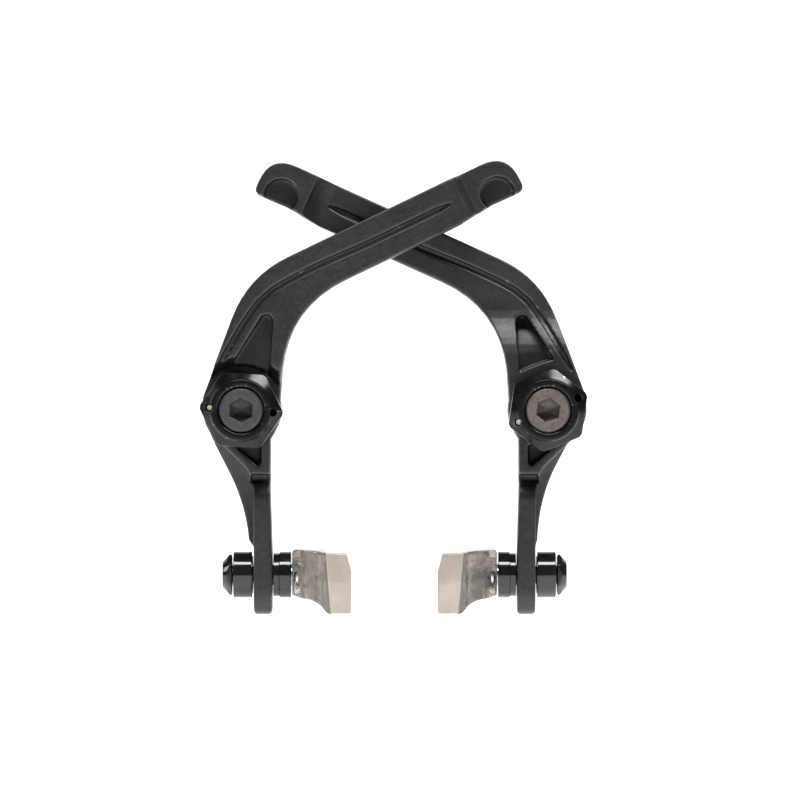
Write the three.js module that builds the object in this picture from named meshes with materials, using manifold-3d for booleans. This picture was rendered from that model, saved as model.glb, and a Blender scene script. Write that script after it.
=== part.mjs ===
// A BMX rim brake of the U-brake kind: two cranked arms on two frame bosses, crossing above the wheel.
// Millimetres, +Z up, +X to the right, +Y towards the bicycle frame. The origin is midway between the
// two pivots, on the plane of the frame's bosses. A side's own coordinates are (u, y, z): u runs from
// that side's pivot towards the middle of the brake.
import * as THREE from 'three';
import { mergeVertices } from 'three/addons/utils/BufferGeometryUtils.js';
import Module from 'manifold-3d';

const wasm = await Module();
wasm.setup();

// ---- driving dimensions ----
const GAP = 0.3;                     // clearance kept between neighbouring pieces
const PIVOT_SPACING = 85;            // between the two frame bosses
const ROUND = 32;                    // facets round the pivot's pieces
const PAD_ROUND = 24;                // facets round the pad's pieces

const HUB = { back: -1.8, front: -17, radius: 10.9 };
const SLEEVE = { bore: 4.3, radius: 6.0, flange: 9.0, flangeThick: 1.5, front: -18.7 };
const BUSHING = { radius: 7.6, back: -3.7, front: -9.2 };
const SEAL = { outer: 8.6, back: -1.8, front: -3.1 };
const SPRING = { wire: 0.7, coil: 7.6, leg: 8.8, turns: 3, pitch: 1.75, back: -10.5, tail: -7.0, tip: -24.4 };
const CAVITY = { radius: 9.8, back: -9.5 };
const COLLAR = { flats: 20.5, corner: 11.55, back: -17.3, front: -27.3, ring: 8.5, coneFrom: 8.8, coneFront: -26.6 };
const COLLAR_HOLE = { radius: 1.1, at: 8.9 };
const CONE_SLOPE = 0.83;             // how fast the collar's front cone falls back, per millimetre of radius
const COLLAR_WEB = { back: -19.0, front: -21.0, bore: 4.4 };
const BOLT = { head: 6.2, headBack: -21.3, headFront: -27.0, shank: 3.98, end: 9, socket: 6, socketDeep: 3.6 };

const BEAM = {
  front: { near: -23, far: -12.5, stepLow: 6, stepHigh: 12 },
  rear: { near: -11.3, far: -0.8, stepLow: 13, stepHigh: 31 },
};
const CRANK = { low: 13, high: 31 };             // heights between which the arm's back steps to its beam's plane
const RECESS = { floor: 12.4, mouth: 14.8 };     // radii of the dished seat round the collar
const BEND_OUTER = new THREE.Vector2(1.66, 37.1);  // corners that the arm's bend rounds off
const BEND_INNER = new THREE.Vector2(13.2, 28.55);
const TIP = { near: -16.5, far: -6.5, past: 7.4, drop: 11.6 };
const TIP_STEP = { start: 9.2, end: 7.3, ramp: 6 };   // distances back from the cable pocket, and the ramp's length
const CABLE_POCKET = { radius: 4.85, drop: 9.2, floor: -9.5 };
const GROOVE = { width: 1.6, deep: 1.2 };
const WINDOW_DEEP = 5;

const LEG = { outer: 3.2, inner: 8.3, bottom: -57.2, half: 6.75 };
const PAD_AXIS = { y: -7.5, z: -46.1 };
const SLOT = { half: 3.3, travel: 2 };
const SCOOP = { from: 2.4, top: -17.8, floor: -9.5, floorEnd: -20, bottom: -25 };
const LEG_MIDDLE = (LEG.outer + LEG.inner) / 2;

const STUD = { radius: 2.98, outerEnd: -5.4, plateFrom: 15.0, plateThick: 1.5, plateHalfLong: 17, plateHalfHigh: 5 };
const NUT = { flats: 10, outer: -5.6, inner: -2.86, bore: 3.3 };
const CUP_RADIUS = 6.5;
const PAD = { length: 50, back: 14.1, face: 30.6, top: -38.0, bottom: -56.3, rimRadius: 205 };

// ---- the two arms: side is -1 on the left and 1 on the right, and flank is the leg's outer outline, upwards ----
const SIDES = [
  {
    name: 'left', side: -1, beam: 'front', beamAngle: 25.7, pocketAt: 72.6, collarTurn: -4.5, springAngle: 175.5,
    flank: { foot: [1.75, -36.3], bend: [0.9, -26], shoulder: [-4.3, -16.2], hip: [-7.6, -9.6] },
  },
  {
    name: 'right', side: 1, beam: 'rear', beamAngle: 24.3, pocketAt: 75.3, collarTurn: 22, springAngle: 202,
    flank: { foot: [2.6, -36.3], bend: [2.2, -25.5], shoulder: [-2.2, -16.2], hip: [-6.7, -7.6] },
  },
];

const MATERIALS = {
  arm_charcoal: { color: 0x37343a, roughness: 0.62, metalness: 0.55 },
  black_anodised: { color: 0x141416, roughness: 0.3, metalness: 0.6 },
  bolt_black: { color: 0x444246, roughness: 0.55, metalness: 0.7 },
  plated_steel: { color: 0xa8a8ac, roughness: 0.35, metalness: 1.0 },
  bronze: { color: 0xa87b3f, roughness: 0.45, metalness: 1.0 },
  seal_rubber: { color: 0x18181a, roughness: 0.85, metalness: 0.0 },
  spring_steel: { color: 0xb89a6a, roughness: 0.35, metalness: 1.0 },
  washer_black: { color: 0x0c0c0e, roughness: 0.18, metalness: 0.4 },
  pad_urethane: { color: 0xb8aa9e, roughness: 0.25, metalness: 0.0 },
};

// ---- solids from three.js geometry ----
function solidOf(geometry) {
  const bare = geometry.clone();
  bare.deleteAttribute('normal');
  bare.deleteAttribute('uv');
  const merged = mergeVertices(bare, 1e-4);
  return new wasm.Manifold(new wasm.Mesh({
    numProp: 3,
    vertProperties: new Float32Array(merged.attributes.position.array),
    triVerts: new Uint32Array(merged.index.array),
  }));
}

function geometryOf(solid) {
  const mesh = solid.getMesh();
  const geometry = new THREE.BufferGeometry();
  geometry.setAttribute('position', new THREE.BufferAttribute(new Float32Array(mesh.vertProperties), 3));
  geometry.setIndex(new THREE.BufferAttribute(new Uint32Array(mesh.triVerts), 1));
  geometry.computeVertexNormals();
  return geometry;
}

function shapeOf(points) {
  return new THREE.Shape(points.map(([a, b]) => new THREE.Vector2(a, b)));
}

// A slab whose outline lies in (u, z), between two depths.
function slab(shape, near, far, segments = 8) {
  const geometry = new THREE.ExtrudeGeometry(shape, { depth: far - near, bevelEnabled: false, curveSegments: segments });
  geometry.rotateX(Math.PI / 2);
  geometry.translate(0, far, 0);
  return solidOf(geometry);
}

// A prism whose outline lies in (y, z), running along u.
function prismAlongU(shape, from, to, segments = 8) {
  const geometry = new THREE.ExtrudeGeometry(shape, { depth: to - from, bevelEnabled: false, curveSegments: segments });
  const turn = new THREE.Matrix4().set(0, 0, 1, from, 1, 0, 0, 0, 0, 1, 0, 0, 0, 0, 0, 1);
  geometry.applyMatrix4(turn);
  return solidOf(geometry);
}

// A solid of revolution from a closed profile of [radius, height], about the Y axis.
function turned(profile, facets = ROUND) {
  const doubled = profile.map(([r, h], i) => {
    const [nextR, nextH] = profile[(i + 1) % profile.length];
    return r * nextH - nextR * h;
  });
  const anticlockwise = doubled.reduce((sum, value) => sum + value, 0) > 0;
  const ordered = anticlockwise ? profile : [...profile].reverse();
  const points = [...ordered, ordered[0]].map(([r, h]) => new THREE.Vector2(r, h));
  return solidOf(new THREE.LatheGeometry(points, facets));
}

function cylinder(radius, low, high, u = 0, z = 0) {
  const geometry = new THREE.CylinderGeometry(radius, radius, high - low, ROUND);
  geometry.translate(u, (low + high) / 2, z);
  return solidOf(geometry);
}

function tube(inner, outer, low, high, facets = ROUND) {
  return turned([[inner, low], [outer, low], [outer, high], [inner, high]], facets);
}

function hexagon(flats, turn) {
  const corner = flats / Math.sqrt(3);
  const points = Array.from({ length: 6 }, (_, i) => {
    const angle = THREE.MathUtils.degToRad(turn + 60 * i);
    return [corner * Math.cos(angle), corner * Math.sin(angle)];
  });
  return shapeOf(points);
}

// Turns a solid made about the Y axis so that its axis is the pad's axis, with height running along u.
function onPadAxis(solid) {
  const geometry = geometryOf(solid);
  const turn = new THREE.Matrix4().set(0, 1, 0, 0, 1, 0, 0, PAD_AXIS.y, 0, 0, -1, PAD_AXIS.z, 0, 0, 0, 1);
  geometry.applyMatrix4(turn);
  return solidOf(geometry);
}

// ---- the arm ----
function beamFrame(arm) {
  const angle = THREE.MathUtils.degToRad(arm.beamAngle);
  const along = new THREE.Vector2(Math.cos(angle), Math.sin(angle));
  const up = new THREE.Vector2(-along.y, along.x);
  return (s, rise) => BEND_OUTER.clone().addScaledVector(along, s).addScaledVector(up, rise);
}

function armOutline(arm) {
  const at = beamFrame(arm);
  const angle = THREE.MathUtils.degToRad(arm.beamAngle);
  const end = arm.pocketAt + TIP.past;
  const inner = (s) => BEND_INNER.clone().add(new THREE.Vector2(Math.cos(angle), Math.sin(angle)).multiplyScalar(s));
  const outline = new THREE.Shape();
  const go = (point) => outline.lineTo(point.x, point.y);
  const round = (corner, point) => outline.quadraticCurveTo(corner.x, corner.y, point.x, point.y);
  outline.moveTo(-HUB.radius, 3.5);
  outline.lineTo(-2.7, 25.4);
  round(BEND_OUTER, at(12.5, 0));
  go(at(arm.pocketAt - 0.5, 0));
  round(at(end, 0), at(end, -8));
  go(at(end, -TIP.drop + 2));
  round(at(end, -TIP.drop), at(end - 2, -TIP.drop));
  go(at(end - 10, -TIP.drop + 0.2));
  go(inner(arm.pocketAt - 20));
  go(inner(17.5));
  round(BEND_INNER, new THREE.Vector2(11.15, 11.2));
  outline.lineTo(10.6, 3);
  outline.quadraticCurveTo(10.6, -5, 7.9, -8);
  outline.lineTo(7.75, -22);
  outline.lineTo(LEG.inner, -40);
  outline.lineTo(LEG.inner, LEG.bottom + 1.2);
  outline.quadraticCurveTo(LEG.inner, LEG.bottom, LEG.inner - 1.2, LEG.bottom);
  outline.lineTo(LEG.outer + 1.2, LEG.bottom);
  outline.quadraticCurveTo(LEG.outer, LEG.bottom, LEG.outer, LEG.bottom + 1.2);
  outline.lineTo(LEG.outer, -38.4);
  outline.lineTo(...arm.flank.foot);
  outline.quadraticCurveTo(...arm.flank.bend, ...arm.flank.shoulder);
  outline.lineTo(...arm.flank.hip);
  outline.lineTo(-HUB.radius, -1);
  return outline;
}

// The arm's shape seen from the side, in (y, z), moved back by `inset` at the front.
function armSideShape(arm, inset = 0) {
  const beam = BEAM[arm.beam];
  const near = beam.near + inset;
  const hubNear = HUB.front + inset;
  const legNear = PAD_AXIS.y - LEG.half + inset;
  const legFar = PAD_AXIS.y + LEG.half;
  const bottomMiddle = LEG.bottom + LEG.half;
  const crankMiddle = (CRANK.low + CRANK.high) / 2;
  const stepMiddle = (beam.stepLow + beam.stepHigh) / 2;
  const side = new THREE.Shape();
  side.moveTo(legFar, bottomMiddle);
  side.lineTo(legFar, -14);
  side.lineTo(HUB.back, -12);
  side.lineTo(HUB.back, CRANK.low);
  side.bezierCurveTo(HUB.back, crankMiddle, beam.far, crankMiddle, beam.far, CRANK.high);
  side.lineTo(beam.far, 90);
  side.lineTo(near, 90);
  side.lineTo(near, beam.stepHigh);
  side.bezierCurveTo(near, stepMiddle, hubNear, stepMiddle, hubNear, beam.stepLow);
  side.lineTo(hubNear, SCOOP.top);
  side.lineTo(legNear, SCOOP.bottom);
  side.lineTo(legNear, bottomMiddle);
  side.quadraticCurveTo(legNear, LEG.bottom, PAD_AXIS.y, LEG.bottom);
  side.quadraticCurveTo(legFar, LEG.bottom, legFar, bottomMiddle);
  return side;
}

// The hollow under the hub that leaves a rounded shoulder on the leg's rib, seen from the side.
function scoopShape() {
  const legNear = PAD_AXIS.y - LEG.half;
  const shape = new THREE.Shape();
  shape.moveTo(-30, SCOOP.top);
  shape.lineTo(SCOOP.floor, SCOOP.top);
  shape.lineTo(SCOOP.floor, SCOOP.floorEnd);
  shape.quadraticCurveTo(legNear + 0.4, SCOOP.floorEnd - 0.4, legNear, SCOOP.bottom);
  shape.lineTo(-30, SCOOP.bottom);
  return shape;
}

// The face that the leg's outer flank is cut back to, seen from the side.
function flankSideShape() {
  const shape = new THREE.Shape();
  shape.moveTo(10, 0);
  shape.lineTo(-15.5, 0);
  shape.quadraticCurveTo(-12.6, -10, -11, -18);
  shape.quadraticCurveTo(-9.2, -32, -11, -43);
  shape.lineTo(10, -43);
  return shape;
}

function grooveShape(arm) {
  const at = beamFrame(arm);
  const middle = -6.3;
  const end = at(arm.pocketAt - 12.5, middle);
  const route = new THREE.CatmullRomCurve3([
    new THREE.Vector3(-7.2, 10.4, 0),
    new THREE.Vector3(-3.4, 17.2, 0),
    new THREE.Vector3(2.4, 26.7, 0),
    new THREE.Vector3(7.4, 32.4, 0),
    new THREE.Vector3(at(18, middle).x, at(18, middle + 0.6).y, 0),
    new THREE.Vector3(at(34, middle).x, at(34, middle).y, 0),
    new THREE.Vector3(end.x, end.y, 0),
  ]);
  const steps = 18;
  const edge = (i, sign) => {
    const point = route.getPointAt(i / steps);
    const tangent = route.getTangentAt(i / steps);
    const half = sign * GROOVE.width / 2 * (i === 0 || i === steps ? 0.25 : 1);
    return [point.x - tangent.y * half, point.y + tangent.x * half];
  };
  const count = Array.from({ length: steps + 1 }, (_, i) => i);
  return shapeOf([...count.map((i) => edge(i, -1)), ...count.reverse().map((i) => edge(i, 1))]);
}

// The window in the crank. The front arm's opens into the recess round its collar.
function windowShape(arm) {
  const drop = arm.beam === 'front' ? 1.7 : 0;
  const shape = new THREE.Shape();
  shape.moveTo(7.8, 10.5 - drop);
  shape.lineTo(8.8, 24.6);
  shape.quadraticCurveTo(8.2, 27.4, 5.6, 26.2);
  shape.lineTo(-2.0 - drop / 2, 14.2 - drop);
  shape.quadraticCurveTo(3.5, 12.8 - drop / 2, 7.8, 10.5 - drop);
  return shape;
}

function lowerWindowShape() {
  return shapeOf([[-2.6, -9.6], [5.4, -9.6], [5.3, -14.6], [4.4, -15.6], [3.4, -14.8]]);
}

function flankShape() {
  const shape = new THREE.Shape();
  shape.moveTo(-9, -8.2);
  shape.lineTo(-5.5, -9.6);
  shape.lineTo(1.0, -16.0);
  shape.quadraticCurveTo(2.9, -18.6, 3.1, -24);
  shape.lineTo(LEG.outer, -42.5);
  shape.lineTo(-9, -42.5);
  return shape;
}

// A prism whose outline lies in (s, y), s being the distance along the beam, running across the beam.
function prismAcrossBeam(arm, shape, from, to) {
  const angle = THREE.MathUtils.degToRad(arm.beamAngle);
  const [cos, sin] = [Math.cos(angle), Math.sin(angle)];
  const start = beamFrame(arm)(0, from);
  const geometry = new THREE.ExtrudeGeometry(shape, { depth: to - from, bevelEnabled: false, curveSegments: 8 });
  const turn = new THREE.Matrix4().set(cos, 0, -sin, start.x, 0, 1, 0, 0, sin, 0, cos, start.y, 0, 0, 0, 1);
  geometry.applyMatrix4(turn);
  return solidOf(geometry);
}

// Cuts the beam's end down to the tip block, and joins the block that holds the cable pocket.
function withTip(body, arm) {
  const at = beamFrame(arm);
  const end = arm.pocketAt + TIP.past;
  const near = BEAM[arm.beam].near;
  const stepStart = arm.pocketAt - TIP_STEP.start;
  const stepEnd = arm.pocketAt - TIP_STEP.end;
  const beyond = (s) => [at(s, 4), at(end + 4, 4), at(end + 4, -16), at(s, -16)].map((p) => [p.x, p.y]);
  const block = slab(armOutline(arm), TIP.near, TIP.far).intersect(slab(shapeOf(beyond(stepEnd)), -40, 10));
  const middle = at(arm.pocketAt, -CABLE_POCKET.drop);
  const pocket = cylinder(CABLE_POCKET.radius, -40, CABLE_POCKET.floor, middle.x, middle.y);
  const step = new THREE.Shape();
  if (arm.beam === 'front') {
    step.moveTo(stepStart - 1, near - 3);
    step.lineTo(stepStart - 1, near);
    step.quadraticCurveTo(stepStart + 0.6, near + 0.4, stepEnd, TIP.near);
    step.lineTo(end + 4, TIP.near);
    step.lineTo(end + 4, near - 3);
    const lowered = body.subtract(prismAcrossBeam(arm, step, -20, 6));
    return lowered.subtract(slab(shapeOf(beyond(stepEnd + 1.5)), -40, 10)).add(block).subtract(pocket);
  }
  const foot = stepEnd - TIP_STEP.ramp;
  step.moveTo(foot, near + 2);
  step.lineTo(foot, near);
  step.quadraticCurveTo(stepEnd - 3, near - 0.4, stepEnd + 0.5, TIP.near + 1.2);
  step.lineTo(stepEnd + 0.5, near + 2);
  const ramp = prismAcrossBeam(arm, step, -20, 6).intersect(slab(armOutline(arm), -40, 5));
  return body.subtract(slab(shapeOf(beyond(stepEnd + 1.5)), -40, 10)).add(ramp).add(block).subtract(pocket);
}

function armSolid(arm) {
  const wide = [-20, 100];
  const cutter = (shape, side) => slab(shape, -40, HUB.back - 3).subtract(prismAlongU(side, ...wide));
  const follow = (shape, deep) => cutter(shape, armSideShape(arm, deep));
  let body = slab(armOutline(arm), -40, 5).intersect(prismAlongU(armSideShape(arm), ...wide));
  body = body.add(cylinder(HUB.radius, HUB.front, HUB.back));
  body = body.subtract(turned([[0, HUB.front], [RECESS.floor, HUB.front], [RECESS.mouth, BEAM.front.near],
    [RECESS.mouth, BEAM.front.near - 1], [0, BEAM.front.near - 1]]));
  body = body.subtract(follow(grooveShape(arm), GROOVE.deep));
  body = body.subtract(follow(windowShape(arm), WINDOW_DEEP));
  body = body.subtract(slab(lowerWindowShape(), -40, HUB.front + 7));
  body = body.subtract(cutter(flankShape(), flankSideShape()));
  body = body.subtract(prismAlongU(scoopShape(), SCOOP.from, 20));
  body = withTip(body, arm);
  body = body.subtract(cylinder(BUSHING.radius + GAP, -40, 5));
  body = body.subtract(cylinder(CAVITY.radius, HUB.front - 1, CAVITY.back));
  body = body.subtract(cylinder(SEAL.outer + GAP, SEAL.front - GAP, 5));
  const tail = polar(SPRING.leg, localAngle(arm, springTailAngle(arm)));
  const tailHole = cylinder(SPRING.wire + 2 * GAP, CAVITY.back - GAP, SPRING.tail + GAP, tail.x, tail.y);
  body = body.subtract(tailHole);
  return body.subtract(padSlot());
}

function padSlot() {
  const low = PAD_AXIS.z - SLOT.travel;
  const high = PAD_AXIS.z + SLOT.travel;
  const slot = new THREE.Shape();
  slot.absarc(PAD_AXIS.y, high, SLOT.half, 0, Math.PI, false);
  slot.absarc(PAD_AXIS.y, low, SLOT.half, Math.PI, 2 * Math.PI, false);
  return prismAlongU(slot, -15, 20, 8);
}

// ---- the pivot's pieces, about the pivot's own axis ----
function polar(radius, degrees) {
  const turn = THREE.MathUtils.degToRad(degrees);
  return new THREE.Vector2(radius * Math.cos(turn), radius * Math.sin(turn));
}

// An angle seen from the front, measured in the side's own (u, z) plane.
function localAngle(arm, degrees) {
  return arm.side < 0 ? degrees : 180 - degrees;
}

function springTailAngle(arm) {
  return arm.springAngle - arm.side * 90;
}

function sleeveSolid() {
  const { bore, radius, flange, flangeThick, front } = SLEEVE;
  return turned([[bore, 0], [flange, 0], [flange, -flangeThick], [radius, -flangeThick], [radius, front], [bore, front]]);
}

function bushingSolid() {
  return tube(SLEEVE.radius + GAP, BUSHING.radius, BUSHING.front, BUSHING.back);
}

function sealSolid() {
  return tube(SLEEVE.radius + GAP, SEAL.outer, SEAL.front, SEAL.back);
}

function collarSolid(arm) {
  const { flats, corner, back, front, ring, coneFrom, coneFront } = COLLAR;
  const coneBack = coneFront + (corner - coneFrom) * CONE_SLOPE;
  const chamfered = turned([[0, back], [corner - 0.8, back], [corner, back - 0.6], [corner, coneBack],
    [coneFrom, coneFront], [ring, front], [0, front]]);
  let body = slab(hexagon(flats, localAngle(arm, arm.collarTurn)), front, back).intersect(chamfered);
  body = body.subtract(cylinder(SLEEVE.radius + GAP, COLLAR_WEB.back, back + 1));
  body = body.subtract(cylinder(COLLAR_WEB.bore, front, back));
  body = body.subtract(cylinder(BOLT.head + GAP, front - 1, COLLAR_WEB.front));
  for (const turn of [arm.collarTurn, arm.collarTurn + 180]) {
    const at = polar(COLLAR_HOLE.at, localAngle(arm, turn));
    body = body.subtract(cylinder(COLLAR_HOLE.radius, front - 1, back + 1, at.x, at.y));
  }
  return body;
}

function boltSolid(arm) {
  const { head, headBack, headFront, shank, end, socket, socketDeep } = BOLT;
  const body = turned([[0, headFront], [head - 0.5, headFront], [head, headFront + 0.5], [head, headBack],
    [shank, headBack], [shank, end - 1], [shank - 1, end], [0, end]]);
  const key = slab(hexagon(socket, arm.side < 0 ? 90 : 99), headFront - 1, headFront + socketDeep);
  return body.subtract(key);
}

function springSolid(arm) {
  const { wire, coil, leg, turns, pitch, back, tail, tip } = SPRING;
  const tailAngle = localAngle(arm, springTailAngle(arm));
  const swept = (turns - 0.25) * 360;
  const front = back - pitch * (turns - 0.25);
  const point = (radius, angle, y) => {
    const at = polar(radius, angle);
    return new THREE.Vector3(at.x, y, at.y);
  };
  const perTurn = 12;
  const coils = Math.round((turns - 0.25) * perTurn);
  const points = [point(leg, tailAngle, tail), point(leg, tailAngle, back + 1.2), point(leg - 0.1, tailAngle, back + 0.4)];
  for (let i = 2; i < coils; i += 1) {
    points.push(point(coil, tailAngle + swept * i / coils, back + (front - back) * i / coils));
  }
  const frontAngle = tailAngle + swept;
  points.push(point(leg, frontAngle, front - 1.2), point(leg, frontAngle, (front + tip) / 2), point(leg, frontAngle, tip));
  const section = shapeOf(Array.from({ length: 6 }, (_, i) => {
    const at = polar(wire, 60 * i);
    return [at.x, at.y];
  }));
  const path = new THREE.CatmullRomCurve3(points);
  return solidOf(new THREE.ExtrudeGeometry(section, { steps: 54, extrudePath: path, bevelEnabled: false }));
}

// ---- the pad and its washers, about the pad's axis, with height running along u ----
function arcProfile(centre, radius, fromRadius, toRadius, sign, steps = 4) {
  return Array.from({ length: steps + 1 }, (_, i) => {
    const r = fromRadius + (toRadius - fromRadius) * i / steps;
    return [r, centre + sign * Math.sqrt(radius * radius - r * r)];
  });
}

const INNER_BALL = { centre: 3.65, radius: 9.0, rim: 6.1, hole: 3.8, back: 13.6 };
const OUTER_BALL = { centre: LEG_MIDDLE, radius: 6.5, rim: 5.3, hole: 3.8, back: -2.56, skirt: 2.6 };

function innerConvexSolid() {
  const { centre, radius, rim, hole } = INNER_BALL;
  const flat = LEG.inner + GAP;
  return turned([[hole, flat], [rim, flat], ...arcProfile(centre, radius, rim, hole, 1)], PAD_ROUND);
}

function innerCupSolid() {
  const { centre, radius, back } = INNER_BALL;
  return turned([[NUT.bore, back], ...arcProfile(centre, radius + GAP, NUT.bore, CUP_RADIUS, 1), [CUP_RADIUS, back]], PAD_ROUND);
}

function outerConvexSolid() {
  const { centre, radius, rim, hole } = OUTER_BALL;
  const flat = LEG.outer - GAP;
  return turned([[hole, flat], [rim, flat], ...arcProfile(centre, radius, rim, hole, -1)], PAD_ROUND);
}

function outerCupSolid() {
  const { centre, radius, back, skirt } = OUTER_BALL;
  const mouth = Math.sqrt((radius + GAP) ** 2 - (centre - skirt) ** 2);
  return turned([[NUT.bore, back], ...arcProfile(centre, radius + GAP, NUT.bore, mouth, -1), [CUP_RADIUS, skirt],
    [CUP_RADIUS, back]], PAD_ROUND);
}

function nutSolid() {
  const corner = NUT.flats / Math.sqrt(3);
  const geometry = new THREE.ExtrudeGeometry(hexagon(NUT.flats, 30), { depth: NUT.inner - NUT.outer, bevelEnabled: false });
  geometry.rotateX(Math.PI / 2);
  geometry.translate(0, NUT.inner, 0);
  const domed = turned([[0, NUT.inner], [corner, NUT.inner], [corner, NUT.inner - 1], [corner - 2, NUT.outer], [0, NUT.outer]],
    PAD_ROUND);
  return solidOf(geometry).intersect(domed).subtract(cylinder(NUT.bore, NUT.outer - 1, NUT.inner + 1));
}

function plateShape(grow) {
  const halfLong = STUD.plateHalfLong + grow;
  const halfHigh = STUD.plateHalfHigh + grow;
  const shape = new THREE.Shape();
  shape.absarc(PAD_AXIS.y + halfLong - halfHigh, PAD_AXIS.z, halfHigh, -Math.PI / 2, Math.PI / 2, false);
  shape.absarc(PAD_AXIS.y - halfLong + halfHigh, PAD_AXIS.z, halfHigh, Math.PI / 2, 3 * Math.PI / 2, false);
  return shape;
}

function studPostSolid(radius, from, to) {
  return onPadAxis(cylinder(radius, from, to));
}

function studSolid() {
  const { radius, outerEnd, plateFrom, plateThick } = STUD;
  const post = studPostSolid(radius, outerEnd, plateFrom + plateThick / 2);
  return post.add(prismAlongU(plateShape(0), plateFrom, plateFrom + plateThick));
}

// The pad seen from the end, in (u, z): a tall friction side and a narrower moulded back.
function padEndShape() {
  const { back, face, top, bottom } = PAD;
  const shape = new THREE.Shape();
  shape.moveTo(back, top - 2);
  shape.quadraticCurveTo(back, top, back + 2, top);
  shape.lineTo(face - 1.7, top);
  shape.lineTo(face, top - 6.4);
  shape.lineTo(face, bottom);
  shape.lineTo(face - 6.6, bottom);
  shape.quadraticCurveTo(face - 9.5, bottom + 4, back + 3, bottom + 4);
  shape.lineTo(back, bottom + 5);
  return shape;
}

// The pad seen from the side, in (y, z): a band that follows the rim.
function padBandShape() {
  const { length, top, bottom, rimRadius } = PAD;
  const wheel = PAD_AXIS.z - rimRadius;
  const half = Math.asin(length / 2 / rimRadius);
  const sag = rimRadius * (1 - Math.cos(half));
  const shape = new THREE.Shape();
  shape.absarc(PAD_AXIS.y, wheel, top - wheel, Math.PI / 2 - half, Math.PI / 2 + half, false);
  shape.absarc(PAD_AXIS.y, wheel, bottom + sag - wheel, Math.PI / 2 + half, Math.PI / 2 - half, true);
  return shape;
}

// The pad seen from above, in (u, y): the moulded back is shorter than the friction side.
function padPlanSolid() {
  const { back, face, length } = PAD;
  const half = length / 2;
  const shape = new THREE.Shape();
  const y = PAD_AXIS.y;
  shape.moveTo(back, y - half + 8);
  shape.quadraticCurveTo(back + 7, y - half + 7, back + 9, y - half);
  shape.lineTo(face + 1, y - half);
  shape.lineTo(face + 1, y + half);
  shape.lineTo(back + 9, y + half);
  shape.quadraticCurveTo(back + 7, y + half - 7, back, y + half - 8);
  const geometry = new THREE.ExtrudeGeometry(shape, { depth: 40, bevelEnabled: false, curveSegments: 6 });
  geometry.translate(0, 0, PAD_AXIS.z - 20);
  return solidOf(geometry);
}

function padSolid() {
  const body = slab(padEndShape(), -60, 40, 6).intersect(prismAlongU(padBandShape(), 0, 40, 8)).intersect(padPlanSolid());
  const plateRoom = prismAlongU(plateShape(GAP), STUD.plateFrom - GAP, STUD.plateFrom + STUD.plateThick + GAP);
  return body.subtract(plateRoom).subtract(studPostSolid(STUD.radius + GAP, PAD.back - 1, STUD.plateFrom));
}

// ---- assembly ----
function placed(name, solid, material, arm) {
  const geometry = geometryOf(solid);
  if (arm.side > 0) {
    geometry.scale(-1, 1, 1);
    const index = geometry.index.array;
    for (let i = 0; i < index.length; i += 3) {
      [index[i], index[i + 1]] = [index[i + 1], index[i]];
    }
    geometry.computeVertexNormals();
  }
  const mesh = new THREE.Mesh(geometry, new THREE.MeshStandardMaterial(MATERIALS[material]));
  mesh.name = `${arm.name}_${name}`;
  mesh.position.x = arm.side * PIVOT_SPACING / 2;
  return mesh;
}

const brake = new THREE.Group();
brake.name = 'u_brake';
for (const arm of SIDES) {
  brake.add(placed('arm', armSolid(arm), 'arm_charcoal', arm));
  brake.add(placed('pivot_sleeve', sleeveSolid(), 'plated_steel', arm));
  brake.add(placed('pivot_bushing', bushingSolid(), 'bronze', arm));
  brake.add(placed('back_seal', sealSolid(), 'seal_rubber', arm));
  brake.add(placed('return_spring', springSolid(arm), 'spring_steel', arm));
  brake.add(placed('tension_collar', collarSolid(arm), 'black_anodised', arm));
  brake.add(placed('pivot_bolt', boltSolid(arm), 'bolt_black', arm));
  brake.add(placed('inner_convex_washer', onPadAxis(innerConvexSolid()), 'washer_black', arm));
  brake.add(placed('inner_cup_washer', onPadAxis(innerCupSolid()), 'washer_black', arm));
  brake.add(placed('outer_convex_washer', onPadAxis(outerConvexSolid()), 'washer_black', arm));
  brake.add(placed('outer_cup_washer', onPadAxis(outerCupSolid()), 'washer_black', arm));
  brake.add(placed('pad_nut', onPadAxis(nutSolid()), 'washer_black', arm));
  brake.add(placed('pad_stud', studSolid(), 'plated_steel', arm));
  brake.add(placed('pad_block', padSolid(), 'pad_urethane', arm));
}

export default brake;
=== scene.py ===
"""A pair of BMX U-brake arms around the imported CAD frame, with a plain studio. Metres, +Z up, front is -Y."""
import math

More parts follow.
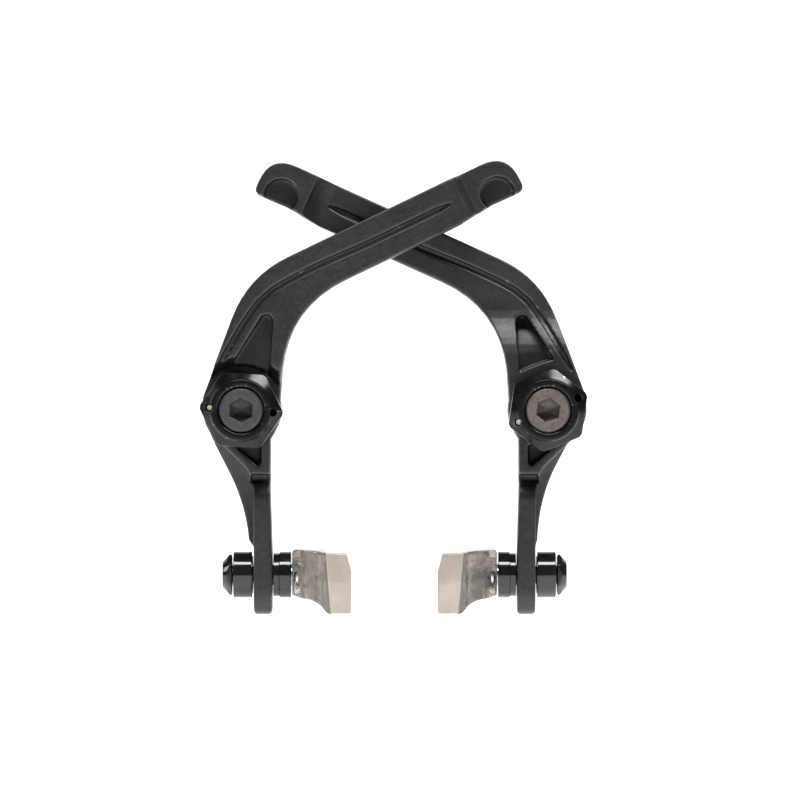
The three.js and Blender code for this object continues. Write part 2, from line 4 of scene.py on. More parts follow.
import bmesh
import bpy
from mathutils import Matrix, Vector


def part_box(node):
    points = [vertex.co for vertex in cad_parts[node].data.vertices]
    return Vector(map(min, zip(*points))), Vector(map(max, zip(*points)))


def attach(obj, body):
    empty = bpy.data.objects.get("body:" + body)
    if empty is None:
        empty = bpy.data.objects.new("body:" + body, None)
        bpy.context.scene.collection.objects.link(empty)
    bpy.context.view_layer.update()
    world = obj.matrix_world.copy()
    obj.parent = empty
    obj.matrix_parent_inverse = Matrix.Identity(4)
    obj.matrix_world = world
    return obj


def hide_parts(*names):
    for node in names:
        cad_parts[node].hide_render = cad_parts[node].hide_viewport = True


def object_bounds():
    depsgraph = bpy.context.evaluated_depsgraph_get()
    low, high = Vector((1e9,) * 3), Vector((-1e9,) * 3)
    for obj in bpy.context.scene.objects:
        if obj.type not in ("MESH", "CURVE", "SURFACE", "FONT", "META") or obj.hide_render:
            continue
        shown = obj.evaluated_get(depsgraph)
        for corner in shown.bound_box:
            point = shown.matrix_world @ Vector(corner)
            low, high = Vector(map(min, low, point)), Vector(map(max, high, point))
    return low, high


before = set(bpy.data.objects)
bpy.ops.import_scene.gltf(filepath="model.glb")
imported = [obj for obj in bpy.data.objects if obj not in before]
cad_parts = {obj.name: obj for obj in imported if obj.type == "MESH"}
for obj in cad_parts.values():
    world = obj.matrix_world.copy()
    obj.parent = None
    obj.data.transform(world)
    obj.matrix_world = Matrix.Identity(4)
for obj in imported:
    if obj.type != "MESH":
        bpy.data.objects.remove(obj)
cad_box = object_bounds()

MM = 0.001
SIDES = {"left": -1, "right": 1}
# How each side's turned pieces happen to stand, in degrees about the pivot.
BOLT_SOCKET_TURN = {"left": 90, "right": 81}
COLLAR_TURN = {"left": -4.5, "right": 22}
SPRING_ANGLE = {"left": 175.5, "right": 202}
PIVOT_HALF_SPACING = 42.5 * MM


# ---------------------------------------------------------------- mesh helpers
def new_object(name, mesh):
    piece = bpy.data.objects.new(name, mesh)
    bpy.context.scene.collection.objects.link(piece)
    return piece


def object_from(name, mesh):
    """Turns a bmesh into an object, and frees it."""
    data = bpy.data.meshes.new(name)
    mesh.to_mesh(data)
    mesh.free()
    return new_object(name, data)


def shade(data, is_smooth):
    for face in data.polygons:
        face.use_smooth = is_smooth


def smooth(piece, degrees=35):
    shade(piece.data, True)
    piece.data.set_sharp_from_angle(angle=math.radians(degrees))


def apply_modifiers(piece):
    graph = bpy.context.evaluated_depsgraph_get()
    mesh = bpy.data.meshes.new_from_object(piece.evaluated_get(graph))
    piece.modifiers.clear()
    piece.data = mesh


def soft_skin(piece, voxel, smoothings):
    """Remeshes a piece finely and rounds its edges over."""
    remesh = piece.modifiers.new("skin", "REMESH")
    remesh.mode = "VOXEL"
    remesh.voxel_size = voxel
    soften = piece.modifiers.new("soften", "SMOOTH")
    soften.factor = 0.5
    soften.iterations = smoothings
    apply_modifiers(piece)
    shade(piece.data, True)


def rounded(points, radius, steps=4):
    """A closed profile with each corner rounded to radius, or to what its sides leave room for."""
    result = []
    count = len(points)
    for i, (r, h) in enumerate(points):
        here = Vector((r, h))
        before = Vector(points[i - 1]) - here
        after = Vector(points[(i + 1) % count]) - here
        cut = min(radius, before.length * 0.45, after.length * 0.45)
        start = here + before.normalized() * cut
        end = here + after.normalized() * cut
        for k in range(steps + 1):
            t = k / steps
            point = start * (1 - t) ** 2 + here * (2 * t * (1 - t)) + end * t * t
            result.append((max(point.x, 0.0), point.y))
    return result


def revolved(name, profile_of, segments, place):
    """A closed solid of revolution. profile_of(angle) gives as many (radius, height) points at every angle;
    place(radius, angle, height) gives the point in the row frame."""
    mesh = bmesh.new()
    rings = []
    for i in range(segments):
        angle = 2 * math.pi * i / segments
        rings.append([mesh.verts.new(place(r, angle, h)) for r, h in profile_of(angle)])
    for i, ring in enumerate(rings):
        following = rings[(i + 1) % segments]
        for k in range(len(ring)):
            n = (k + 1) % len(ring)
            mesh.faces.new((ring[k], ring[n], following[n], following[k]))
    bmesh.ops.remove_doubles(mesh, verts=mesh.verts, dist=1e-7)
    bmesh.ops.dissolve_degenerate(mesh, edges=mesh.edges, dist=1e-8)
    bmesh.ops.recalc_face_normals(mesh, faces=mesh.faces)
    piece = object_from(name, mesh)
    smooth(piece, 50)
    even_normals(piece)
    return piece


def even_normals(piece):
    """Keeps flat faces flat-looking beside their rounded edges."""
    even = piece.modifiers.new("even", "WEIGHTED_NORMAL")
    even.keep_sharp = True
    apply_modifiers(piece)


def about_pivot(side):
    """Places a turned piece about a side's pivot, with height along Y."""
    x = SIDES[side] * PIVOT_HALF_SPACING
    return lambda r, angle, h: Vector((x + r * math.cos(angle), h, r * math.sin(angle)))


def about_pad_axis(side):
    """Places a turned piece about a side's pad stud, with height from the pivot towards the middle."""
    low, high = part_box(f"{side}_inner_cup_washer")
    middle = (low + high) / 2
    sign = SIDES[side]
    x = sign * PIVOT_HALF_SPACING
    return lambda r, angle, h: Vector((x - sign * h,
                                       middle.y + r * math.cos(angle),
                                       middle.z + r * math.sin(angle)))


def hexagon_radius(flats, turn, corner):
    """The radius of a hexagon with blunted corners, as a function of the angle."""
    def radius(angle):
        off = (angle - math.radians(turn)) % (math.pi / 3) - math.pi / 6
        return min(flats / 2 / math.cos(off), corner)
    return radius


def cut_with(piece, cutter):
    tool = piece.modifiers.new("cut", "BOOLEAN")
    tool.operation = "DIFFERENCE"
    tool.solver = "EXACT"
    tool.object = cutter
    apply_modifiers(piece)
    bpy.data.objects.remove(cutter)
    smooth(piece)


def finished(piece, body, node, material):
    piece.data.materials.clear()
    piece.data.materials.append(material)
    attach(piece, body)
    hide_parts(node)


# ---------------------------------------------------------------- materials
NOISE_SPREAD = (0.3, 0.7)     # the stretch of a noise's values that most ramps spread out


def material_with(name, color, roughness, metallic=0.0, **sockets):
    """A plain material. color and roughness hold where nothing is linked to their sockets."""
    material = bpy.data.materials.new(name)
    material.use_nodes = True
    shader = material.node_tree.nodes["Principled BSDF"]
    shader.inputs["Base Color"].default_value = (*color, 1)
    shader.inputs["Roughness"].default_value = roughness
    shader.inputs["Metallic"].default_value = metallic
    for socket, value in sockets.items():
        shader.inputs[socket.replace("_", " ")].default_value = value
    return material, material.node_tree, shader


def node_of(tree, kind, **inputs):
    node = tree.nodes.new(kind)
    for socket, value in inputs.items():
        node.inputs[socket.replace("_", " ")].default_value = value
    return node


def ramp_of(tree, source, low, high, low_color, high_color):
    ramp = tree.nodes.new("ShaderNodeValToRGB")
    ramp.color_ramp.elements[0].position = low
    ramp.color_ramp.elements[0].color = (*low_color, 1)
    ramp.color_ramp.elements[1].position = high
    ramp.color_ramp.elements[1].color = (*high_color, 1)
    tree.links.new(source, ramp.inputs["Fac"])
    return ramp.outputs["Color"]


def mixed(tree, factor, a, b, blend="MIX"):
    mix = tree.nodes.new("ShaderNodeMix")
    mix.data_type = "RGBA"
    mix.blend_type = blend
    for socket, value in (("Factor", factor), ("A", a), ("B", b)):
        target = [s for s in mix.inputs if s.name == socket and s.enabled][0]
        if isinstance(value, bpy.types.NodeSocket):
            tree.links.new(value, target)
        elif socket == "Factor":
            target.default_value = value
        else:
            target.default_value = (*value, 1)
    return [s for s in mix.outputs if s.enabled][0]


def object_noise(tree, scale, detail=4.0):
    where = tree.nodes.new("ShaderNodeTexCoord")
    noise = node_of(tree, "ShaderNodeTexNoise", Scale=scale, Detail=detail, Roughness=0.6)
    tree.links.new(where.outputs["Object"], noise.inputs["Vector"])
    return noise.outputs["Fac"]


def ranged(tree, source, from_low, from_high, to_low=0.0, to_high=1.0):
    """Maps a value from one range to another, and holds it at the ends."""
    reach = node_of(tree, "ShaderNodeMapRange", From_Min=from_low, From_Max=from_high,
                    To_Min=to_low, To_Max=to_high)
    tree.links.new(source, reach.inputs["Value"])
    return reach.outputs["Result"]


def toned(tree, shader, scale, darker, lighter):
    """Varies the colour between two shades with a noise of this scale."""
    tone = ramp_of(tree, object_noise(tree, scale), *NOISE_SPREAD, darker, lighter)
    tree.links.new(tone, shader.inputs["Base Color"])


def roughened(tree, shader, scale, low, high, spread=NOISE_SPREAD):
    """Varies the roughness from low to high with a noise of this scale."""
    rough = ramp_of(tree, object_noise(tree, scale), *spread, (low,) * 3, (high,) * 3)
    tree.links.new(rough, shader.inputs["Roughness"])


def bumped(tree, shader, height, strength, distance):
    bump = node_of(tree, "ShaderNodeBump", Strength=strength, Distance=distance)
    tree.links.new(height, bump.inputs["Height"])
    tree.links.new(bump.outputs["Normal"], shader.inputs["Normal"])


def edge_factor(tree, low, high):
    geometry = tree.nodes.new("ShaderNodeNewGeometry")
    return ramp_of(tree, geometry.outputs["Pointiness"], low, high, (0, 0, 0), (1, 1, 1))


def blasted_charcoal():
    """Matte forged aluminium, blasted and anodised charcoal: fine grain, mottling, and paler edges, partly wear
    and partly a painted edge highlight.
    """
    material, tree, shader = material_with("blasted_charcoal", (0.03, 0.028, 0.03), 0.5, 0.35)
    mottled = ramp_of(tree, object_noise(tree, 90), *NOISE_SPREAD,
                      (0.0115, 0.0104, 0.0108), (0.0185, 0.0168, 0.0172))
    speck = ramp_of(tree, object_noise(tree, 1500, 3.0), 0.35, 0.75, (0.6, 0.6, 0.6), (1.7, 1.65, 1.6))
    grained = mixed(tree, 1.0, mottled, speck, "MULTIPLY")
    # Pointed edges turn paler: partly wear, partly a painted edge highlight.
    wear_and_painted_highlight = mixed(tree, edge_factor(tree, 0.52, 0.58), grained, (0.09, 0.084, 0.086))
    tree.links.new(wear_and_painted_highlight, shader.inputs["Base Color"])
    roughened(tree, shader, 240, 0.36, 0.5)
    bumped(tree, shader, object_noise(tree, 1900, 3.0), 0.4, 0.00008)
    return material


def turned_black():
    """Gloss black anodised aluminium with faint lathe marks, and edges lightened as a painted highlight."""
    material, tree, shader = material_with("turned_black", (0.01, 0.01, 0.011), 0.22, 0.7)
    tone = ramp_of(tree, object_noise(tree, 400), *NOISE_SPREAD,
                   (0.007, 0.007, 0.0075), (0.014, 0.0135, 0.0145))
    # Pointed edges are lightened towards a pale grey: a painted edge highlight.
    painted_edge_highlight = mixed(tree, edge_factor(tree, 0.54, 0.62), tone, (0.13, 0.125, 0.13))
    tree.links.new(painted_edge_highlight, shader.inputs["Base Color"])
    roughened(tree, shader, 700, 0.17, 0.27)
    bumped(tree, shader, object_noise(tree, 2500), 0.06, 0.00003)
    return material


def black_oxide(name, color):
    """Satin black-oxide steel with a fine grain."""
    material, tree, shader = material_with(name, color, 0.5, 0.6)
    darker = tuple(c * 0.75 for c in color)
    lighter = tuple(c * 1.25 for c in color)
    toned(tree, shader, 900, darker, lighter)
    roughened(tree, shader, 500, 0.4, 0.55)
    bumped(tree, shader, object_noise(tree, 3000), 0.12, 0.00004)
    return material


def metal(name, color, roughness, grain):
    """Bare or plated metal whose shade, gloss and bumps follow one size of grain."""
    material, tree, shader = material_with(name, color, roughness, 1.0)
    darker = tuple(c * 0.8 for c in color)
    toned(tree, shader, grain, darker, color)
    roughened(tree, shader, grain * 2, roughness * 0.75, roughness * 1.3)
    bumped(tree, shader, object_noise(tree, grain * 3), 0.08, 0.00003)
    return material


def gloss_black():
    """Gloss black plated washers and nut."""
    material, tree, shader = material_with("gloss_black", (0.006, 0.006, 0.007), 0.08,
                                           Specular_IOR_Level=0.42)
    toned(tree, shader, 500, (0.004, 0.004, 0.0045), (0.009, 0.009, 0.01))
    roughened(tree, shader, 800, 0.06, 0.14, (0.35, 0.65))
    bumped(tree, shader, object_noise(tree, 1800), 0.04, 0.00003)
    return material


def seal_rubber():
    """Matte black rubber."""
    material, tree, shader = material_with("seal_rubber", (0.02, 0.02, 0.02), 0.8)
    toned(tree, shader, 600, (0.014, 0.014, 0.014), (0.03, 0.03, 0.03))
    bumped(tree, shader, object_noise(tree, 2000), 0.3, 0.00005)
    return material


PARTING_TOP = 19.2 * MM       # how far from the brake's middle the mould's parting line is, at the pad's top
PAD_TOP = -38.0 * MM
PARTING_LEAN = 0.085          # how much nearer it comes for each millimetre down
PARTING_RISE = 0.25 * MM
PARTING_WIDTH = 0.32 * MM


def smoky_urethane():
    """Cast urethane: a milky beige friction side, and a clearer smoky back that shows the stud's plate."""
    material, tree, shader = material_with("smoky_urethane", (0.4, 0.35, 0.31), 0.14, 0.0, IOR=1.42,
                                           Coat_Weight=0.5, Coat_Roughness=0.08)
    where = tree.nodes.new("ShaderNodeTexCoord")
    split = tree.nodes.new("ShaderNodeSeparateXYZ")
    tree.links.new(where.outputs["Object"], split.inputs["Vector"])
    off_middle = tree.nodes.new("ShaderNodeMath")
    off_middle.operation = "ABSOLUTE"
    tree.links.new(split.outputs["X"], off_middle.inputs[0])
    leaned = tree.nodes.new("ShaderNodeMath")
    leaned.operation = "MULTIPLY_ADD"
    leaned.inputs[1].default_value = -PARTING_LEAN
    tree.links.new(split.outputs["Z"], leaned.inputs[0])
    tree.links.new(off_middle.outputs[0], leaned.inputs[2])
    from_middle = leaned.outputs[0]
    line = PARTING_TOP - PARTING_LEAN * PAD_TOP
    back = ranged(tree, from_middle, line - 0.1 * MM, line + 0.3 * MM)
    seam_start = ranged(tree, from_middle, line - 0.1 * MM, line)
    seam_end = ranged(tree, from_middle, line + 0.35 * MM, line + 0.7 * MM)
    milky = ramp_of(tree, object_noise(tree, 160), *NOISE_SPREAD, (0.31, 0.265, 0.225), (0.38, 0.33, 0.285))
    smoky = ramp_of(tree, object_noise(tree, 170), 0.35, 0.65, (0.11, 0.098, 0.09), (0.55, 0.49, 0.43))
    seam = mixed(tree, seam_end, (0.13, 0.135, 0.15), smoky)
    tree.links.new(mixed(tree, seam_start, milky, seam), shader.inputs["Base Color"])
    clear = ranged(tree, back, 0.0, 1.0, 0.25, 0.85)
    tree.links.new(clear, shader.inputs["Transmission Weight"])
    roughened(tree, shader, 300, 0.06, 0.18)
    bumped(tree, shader, object_noise(tree, 210), 0.45, 0.0009)
    return material


MATERIALS = {
    "arm": blasted_charcoal(),
    "collar": turned_black(),
    # Both bolts are the same black oxide. The right one's lighter, browner copy is painted light, standing for
    # the brighter light that falls on that bolt.
    "left_bolt": black_oxide("bolt_oxide_dark", (0.05, 0.05, 0.05)),
    "right_bolt": black_oxide("bolt_oxide_painted_lighter", (0.11, 0.094, 0.085)),
    "plated": metal("plated_steel", (0.5, 0.5, 0.52), 0.3, 500),
    "bronze": metal("bearing_bronze", (0.45, 0.29, 0.12), 0.4, 400),
    "spring": metal("spring_wire", (0.85, 0.78, 0.6), 0.3, 700),
    "washer": gloss_black(),
    "seal": seal_rubber(),
    "pad": smoky_urethane(),
}


# ---------------------------------------------------------------- the arms
ARM_VOXEL = 0.3 * MM
ARM_SMOOTHING = 8


def arm(side):
    """The CAD arm with its edges rounded over, as a forging's are."""
    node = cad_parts[f"{side}_arm"]
    piece = new_object(f"{side}_arm_forging", node.data.copy())
    soft_skin(piece, ARM_VOXEL, ARM_SMOOTHING)
    finished(piece, f"{side}_arm_body", f"{side}_arm", MATERIALS["arm"])


# ---------------------------------------------------------------- the pivots
def collar(side):
    """A hexagonal nut whose front is a flat ring inside a cone, with a blind bore for the bolt's head."""
    low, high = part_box(f"{side}_tension_collar")
    front, back = low.y, high.y
    flats, corner = 20.5 * MM, 11.5 * MM
    ring, cone_from, cone_front = 8.4 * MM, 8.75 * MM, front + 0.65 * MM
    mouth, web_bore, sleeve_bore = 6.5 * MM, 4.4 * MM, 6.3 * MM
    web_front, web_back = back - 3.7 * MM, back - 1.7 * MM
    cone_slope, rear_slope = 0.83, 0.55
    flat_edge, mouth_edge = 0.15 * MM, 0.25 * MM
    hole_radius, hole_ring = 1.1 * MM, 8.9 * MM
    reach = hexagon_radius(flats, COLLAR_TURN[side], corner)

    def profile(angle):
        edge = reach(angle)
        cone_back = cone_front + (edge - cone_from) * cone_slope
        rear = back - (edge - flats / 2 + flat_edge) * rear_slope
        outside = [(mouth + mouth_edge, front), (ring, front), (cone_from, cone_front), (edge, cone_back),
                   (edge, rear), (flats / 2 - flat_edge, back)]
        bore = [(sleeve_bore, back), (sleeve_bore, web_back), (web_bore, web_back), (web_bore, web_front),
                (mouth, web_front), (mouth, front + mouth_edge)]
        return rounded(outside + bore, 0.2 * MM)

    piece = revolved(f"{side}_spring_collar", profile, 240, about_pivot(side))
    for turn in (COLLAR_TURN[side], COLLAR_TURN[side] + 180):
        at = about_pivot(side)(hole_ring, math.radians(turn), 0)
        hole = [(0, front - MM), (hole_radius, front - MM), (hole_radius, back + MM), (0, back + MM)]
        drill = revolved("drill", lambda angle: hole, 32, lambda r, angle, h: Vector(
            (at.x + r * math.cos(angle), h, at.z + r * math.sin(angle))))
        cut_with(piece, drill)
    finished(piece, f"{side}_collar_body", f"{side}_tension_collar", MATERIALS["collar"])


def threads(major, pitch, start, end):
    """Profile points of V ridges from start to end, as (radius, height)."""
    depth = pitch * 0.6
    crest_from, crest_to = pitch * 0.45, pitch * 0.55
    points = []
    for i in range(int((end - start) / pitch)):
        base = start + pitch * i
        points += [(major - depth, base), (major, base + crest_from), (major, base + crest_to)]
    return points


def pivot_bolt(side):
    """A low socket-head bolt. Its flat face has rings of its own beside the rounded edges."""
    low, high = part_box(f"{side}_pivot_bolt")
    face, end = low.y, high.y
    head_back = face + 5.7 * MM
    head, shank, face_ring = 6.2 * MM, 3.98 * MM, 4.5 * MM
    socket_floor = face + 3.6 * MM
    key = hexagon_radius(6.1 * MM, BOLT_SOCKET_TURN[side], 3.5 * MM)
    thread_start = head_back + 8 * MM
    pitch, thread_relief = 1.25 * MM, 1.2 * MM
    tip_chamfer, drill_point = 0.9 * MM, 2.2 * MM
    key_edge, key_ring = 0.2 * MM, 0.45 * MM
    head_chamfer, outer_ring, outer_edge = 0.45 * MM, 0.85 * MM, 0.55 * MM

    def profile(angle):
        edge = key(angle)
        outside = rounded([(edge, socket_floor), (edge, face + key_edge), (edge + key_edge, face),
                           (edge + key_ring, face), (face_ring, face), (head - outer_ring, face),
                           (head - outer_edge, face), (head, face + head_chamfer), (head, head_back),
                           (shank, head_back), (shank, thread_start)], 0.1 * MM, 2)
        outside += threads(shank, pitch, thread_start, end - thread_relief)
        outside += [(shank - tip_chamfer, end), (0, end), (0, end - MM), (0, socket_floor + drill_point)]
        return outside

    piece = revolved(f"{side}_socket_bolt", profile, 180, about_pivot(side))
    finished(piece, "pivot_set", f"{side}_pivot_bolt", MATERIALS[f"{side}_bolt"])


def pivot_sleeve(side):
    """The steel sleeve, with its flange at the back."""
    low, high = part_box(f"{side}_pivot_sleeve")
    front, back = low.y, high.y
    bore, radius, flange, thick = 4.3 * MM, 6.0 * MM, 9.0 * MM, 1.5 * MM
    points = rounded([(bore, back), (flange, back), (flange, back - thick), (radius, back - thick),
                      (radius, front), (bore, front)], 0.3 * MM)
    piece = revolved(f"{side}_flanged_sleeve", lambda angle: points, 96, about_pivot(side))
    finished(piece, "pivot_set", f"{side}_pivot_sleeve", MATERIALS["plated"])


def return_spring(side):
    """A torsion spring inside the hub, with one leg back into the arm and one forward into the collar."""
    low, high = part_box(f"{side}_return_spring")
    wire, coil, leg = 0.7 * MM, 7.6 * MM, 8.8 * MM
    turns, pitch = 2.75, 1.75 * MM
    back = -10.5 * MM
    front = back - pitch * turns
    tail_bend, front_bend = 1.2 * MM, 1.3 * MM
    sweep = -SIDES[side] * turns * 2 * math.pi
    front_angle = math.radians(SPRING_ANGLE[side])
    tail_angle = front_angle - sweep
    x = SIDES[side] * PIVOT_HALF_SPACING

    def point(radius, angle, y):
        return Vector((x + radius * math.cos(angle), y, radius * math.sin(angle)))

    steps, left_out = 66, 3     # the first and last few steps are left out, for the bends into the legs
    route = [point(leg, tail_angle, high.y), point(leg, tail_angle, back + tail_bend)]
    for i in range(left_out, steps - left_out + 1):
        route.append(point(coil, tail_angle + sweep * i / steps, back + (front - back) * i / steps))
    route += [point(leg, front_angle, front - front_bend), point(leg, front_angle, low.y)]
    curve = bpy.data.curves.new(f"{side}_spring_wire", "CURVE")
    curve.dimensions = "3D"
    curve.bevel_depth = wire
    curve.bevel_resolution = 4
    curve.use_fill_caps = True
    spline = curve.splines.new("POLY")
    spline.points.add(len(route) - 1)
    for place, at in zip(spline.points, route):
        place.co = (*at, 1)
    piece = new_object(f"{side}_spring_wire", curve)
    graph = bpy.context.evaluated_depsgraph_get()
    mesh = bpy.data.meshes.new_from_object(piece.evaluated_get(graph))
    bpy.data.objects.remove(piece)
    piece = new_object(f"{side}_torsion_spring", mesh)
    smooth(piece, 60)
    finished(piece, f"{side}_collar_body", f"{side}_return_spring", MATERIALS["spring"])


# ---------------------------------------------------------------- washers, nut and pad
def ball_arc(centre, radius, from_radius, to_radius, sign):
    """Profile points on a ball, from one distance off its axis to another."""
    steps = 12
    points = []
    for i in range(steps + 1):
        r = from_radius + (to_radius - from_radius) * i / steps
        points.append((r, centre + sign * math.sqrt(radius * radius - r * r)))
    return points


LEG_INNER = 8.3 * MM
LEG_OUTER = 3.2 * MM
INNER_CUP_BACK = 13.6 * MM
OUTER_CUP_BACK = -2.56 * MM
INNER_BALL = {"centre": 3.65 * MM, "radius": 9.0 * MM, "rim": 6.1 * MM}
OUTER_BALL = {"centre": (LEG_INNER + LEG_OUTER) / 2, "radius": 6.5 * MM, "rim": 5.3 * MM}
WASHER_HOLE = 3.8 * MM
CUP_HOLE = 3.3 * MM
CUP_RADIUS = 6.5 * MM
CLEARANCE = 0.3 * MM
WASHER_EDGE = 0.18 * MM
OUTER_SKIRT = 2.6 * MM


def washer_set(side):
    """Two pairs of spherical washers, one on each face of the arm's leg: a convex one inside a cup."""
    place = about_pad_axis(side)
    leg_inner, leg_outer = LEG_INNER + CLEARANCE, LEG_OUTER - CLEARANCE
    ball = INNER_BALL
    convex = [(WASHER_HOLE, leg_inner), (ball["rim"], leg_inner)]
    convex += ball_arc(ball["centre"], ball["radius"], ball["rim"], WASHER_HOLE, 1)
    cup = [(CUP_HOLE, INNER_CUP_BACK)]
    cup += ball_arc(ball["centre"], ball["radius"] + CLEARANCE, CUP_HOLE, CUP_RADIUS, 1)
    cup += [(CUP_RADIUS, INNER_CUP_BACK)]
    outer = OUTER_BALL
    outer_convex = [(WASHER_HOLE, leg_outer), (outer["rim"], leg_outer)]
    outer_convex += ball_arc(outer["centre"], outer["radius"], outer["rim"], WASHER_HOLE, -1)
    mouth = math.sqrt((outer["radius"] + CLEARANCE) ** 2 - (outer["centre"] - OUTER_SKIRT) ** 2)
    outer_cup = [(CUP_HOLE, OUTER_CUP_BACK)]
    outer_cup += ball_arc(outer["centre"], outer["radius"] + CLEARANCE, CUP_HOLE, mouth, -1)
    outer_cup += [(CUP_RADIUS, OUTER_SKIRT), (CUP_RADIUS, OUTER_CUP_BACK)]
    rows = (("inner_convex_washer", convex, "pad_slider"), ("inner_cup_washer", cup, "pad_tilter"),
            ("outer_convex_washer", outer_convex, "pad_slider"), ("outer_cup_washer", outer_cup, "pad_tilter"))
    for node, points, body in rows:
        profile = rounded(points, WASHER_EDGE, 3)
        piece = revolved(f"{side}_{node}_turned", lambda angle, p=profile: p, 96, place)
        finished(piece, f"{side}_{body}", f"{side}_{node}", MATERIALS["washer"])


def pad_nut(side):
    """A hexagon nut whose outer end slopes to a smaller flat crown."""
    flats, turn, corner = 10 * MM, 30, 5.7 * MM
    outer, inner, bore = -5.6 * MM, OUTER_CUP_BACK - CLEARANCE, 3.05 * MM
    crown, deepest = 3.7 * MM, 1.9 * MM
    inner_bore_edge, outer_bore_edge = 0.3 * MM, 0.35 * MM
    flat_edge, corner_edge = 0.1 * MM, 0.25 * MM
    reach = hexagon_radius(flats, turn, corner)

    def profile(angle):
        edge = reach(angle)
        slope_end = outer + min(edge - crown, deepest)
        points = [(bore + inner_bore_edge, inner), (flats / 2 - flat_edge, inner),
                  (edge, inner - corner_edge), (edge, slope_end), (crown, outer),
                  (bore + outer_bore_edge, outer), (bore, outer + outer_bore_edge)]
        return rounded(points, 0.15 * MM, 3)

    piece = revolved(f"{side}_hex_nut", profile, 144, about_pad_axis(side))
    finished(piece, f"{side}_pad_tilter", f"{side}_pad_nut", MATERIALS["washer"])


def pad_stud(side):
    """The threaded post and its oblong plate, which lies inside the pad."""
    low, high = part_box(f"{side}_pad_stud")
    sign = SIDES[side]
    radius, pitch, tip_chamfer = 2.95 * MM, 1.0 * MM, 0.7 * MM
    outer_end, thread_end, plain_from, post_end = -5.4 * MM, 13.0 * MM, 13.4 * MM, 15.2 * MM
    points = [(0, outer_end), (radius - tip_chamfer, outer_end)]
    points += threads(radius, pitch, outer_end + pitch / 2, thread_end)
    points += [(radius, plain_from), (radius, post_end), (0, post_end)]
    post = revolved(f"{side}_stud_post", lambda angle: points, 64, about_pad_axis(side))
    half_long, half_high = (high.y - low.y) / 2, (high.z - low.z) / 2
    middle = (low + high) / 2
    plate_from, thick, edge = 15.0 * MM, 1.5 * MM, 0.35 * MM
    x_from = sign * PIVOT_HALF_SPACING - sign * plate_from
    steps = 14
    mesh = bmesh.new()
    outline = []
    for end in (1, -1):
        for i in range(steps + 1):
            angle = -end * math.pi / 2 + math.pi * i / steps
            outline.append((middle.y + end * (half_long - half_high) + half_high * math.cos(angle),
                            middle.z + half_high * math.sin(angle)))
    near = [mesh.verts.new((x_from, y, z)) for y, z in outline]
    face = mesh.faces.new(near)
    grown = bmesh.ops.extrude_face_region(mesh, geom=[face])
    moved = [v for v in grown["geom"] if isinstance(v, bmesh.types.BMVert)]
    bmesh.ops.translate(mesh, verts=moved, vec=(-sign * thick, 0, 0))
    bmesh.ops.recalc_face_normals(mesh, faces=mesh.faces)
    rim = [e for e in mesh.edges if len(e.link_faces) == 2 and e.calc_face_angle(0) > math.radians(60)]
    bmesh.ops.bevel(mesh, geom=rim, offset=edge, segments=3, affect="EDGES", profile=0.5)
    plate = object_from(f"{side}_stud_plate", mesh)
    smooth(plate)
    for piece in (post, plate):
        finished(piece, f"{side}_pad_body", f"{side}_pad_stud", MATERIALS["plated"])


PAD_VOXEL = 0.27 * MM
PAD_SMOOTHING = 9


def pad_block(side):
    """The CAD pad with soft edges, and its mould's parting line raised along it."""
    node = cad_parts[f"{side}_pad_block"]
    piece = new_object(f"{side}_urethane_pad", node.data.copy())
    soft_skin(piece, PAD_VOXEL, PAD_SMOOTHING)
    raised = []
    for vertex in piece.data.vertices:
        parting = PARTING_TOP - PARTING_LEAN * (PAD_TOP - vertex.co.z)
        off = (abs(vertex.co.x) - parting) / PARTING_WIDTH
        raised.append(vertex.co + vertex.normal * PARTING_RISE * math.exp(-off * off))
    for vertex, place in zip(piece.data.vertices, raised):
        vertex.co = place
    finished(piece, f"{side}_pad_body", f"{side}_pad_block", MATERIALS["pad"])


def plain_nodes(side):
    """The pieces that stay as the CAD made them, which lie inside the hub."""
    for node, material in (("pivot_bushing", "bronze"), ("back_seal", "seal")):
        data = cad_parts[f"{side}_{node}"].data
        data.materials.clear()
        data.materials.append(MATERIALS[material])
        shade(data, False)


# ---------------------------------------------------------------- studio
def softbox(name, place, width, height, power):
    """A rectangular lamp at place, aimed at the origin."""
    lamp = bpy.data.lights.new(name, "AREA")
    lamp.shape = "RECTANGLE"
    lamp.size = width
    lamp.size_y = height
    lamp.energy = power
    light = bpy.data.objects.new(name, lamp)
    bpy.context.scene.collection.objects.link(light)
    light.location = place
    light.rotation_euler = (-Vector(place)).to_track_quat("-Z", "Y").to_euler()


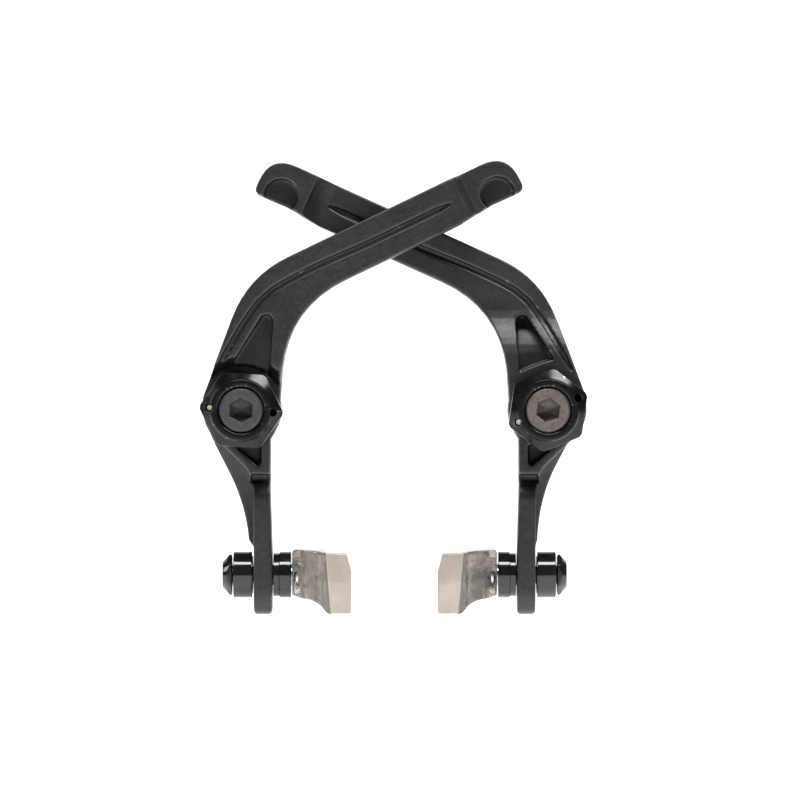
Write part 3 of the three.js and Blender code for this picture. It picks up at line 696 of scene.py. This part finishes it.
def backdrop():
    """A white floor that bends up into a wall, lit from within so that it reads as plain white."""
    white = material_with("studio_white", (0.93, 0.93, 0.93), 0.9, Specular_IOR_Level=0.1,
                          Emission_Color=(1, 1, 1, 1), Emission_Strength=0.95)[0]
    reach, bend, below = 2.6, 0.9, 0.03
    floor_z = cad_box[0].z - below
    bend_y, bend_z = reach - bend, floor_z + bend
    steps = 12
    rows = [(-reach, floor_z), (bend_y, floor_z)]
    for i in range(1, steps):
        angle = math.pi / 2 * i / steps
        rows.append((bend_y + bend * math.sin(angle), bend_z - bend * math.cos(angle)))
    rows += [(reach, bend_z), (reach, reach)]
    mesh = bmesh.new()
    lines = [[mesh.verts.new((x, y, z)) for y, z in rows] for x in (-reach, reach)]
    for k in range(len(rows) - 1):
        mesh.faces.new((lines[0][k], lines[0][k + 1], lines[1][k + 1], lines[1][k]))
    floor = object_from("studio_floor", mesh)
    shade(floor.data, True)
    floor.data.materials.append(white)


def studio():
    backdrop()
    world = bpy.data.worlds.new("studio_world")
    bpy.context.scene.world = world
    world.use_nodes = True
    sky = world.node_tree.nodes["Background"]
    sky.inputs["Color"].default_value = (0.9, 0.92, 0.95, 1)
    sky.inputs["Strength"].default_value = 0.07

    softbox("key", (-0.05, -0.4, 0.66), 0.4, 0.2, 6.0)
    softbox("glint_right", (0.26, -0.1, 0.52), 0.2, 0.3, 4.5)
    softbox("glint_left", (-0.62, 0.05, 0.26), 0.15, 0.4, 1.6)


def camera():
    view = bpy.data.cameras.new("front_view")
    lens = bpy.data.objects.new("front_view", view)
    bpy.context.scene.collection.objects.link(lens)
    sensor, distance, seen_width = 36, 1.6, 222.2 * MM
    aim_x, focus_y, aim_z = 1.5 * MM, -20 * MM, 2.8 * MM
    view.sensor_width = sensor
    view.lens = sensor * distance / seen_width
    view.clip_start = 0.01
    lens.location = (aim_x, focus_y - distance, aim_z)
    lens.rotation_euler = (math.pi / 2, 0, 0)
    bpy.context.scene.camera = lens


for side in SIDES:
    arm(side)
    collar(side)
    pivot_bolt(side)
    pivot_sleeve(side)
    return_spring(side)
    washer_set(side)
    pad_nut(side)
    pad_stud(side)
    pad_block(side)
    plain_nodes(side)

studio()
camera()
bpy.context.scene.view_settings.view_transform = "Standard"
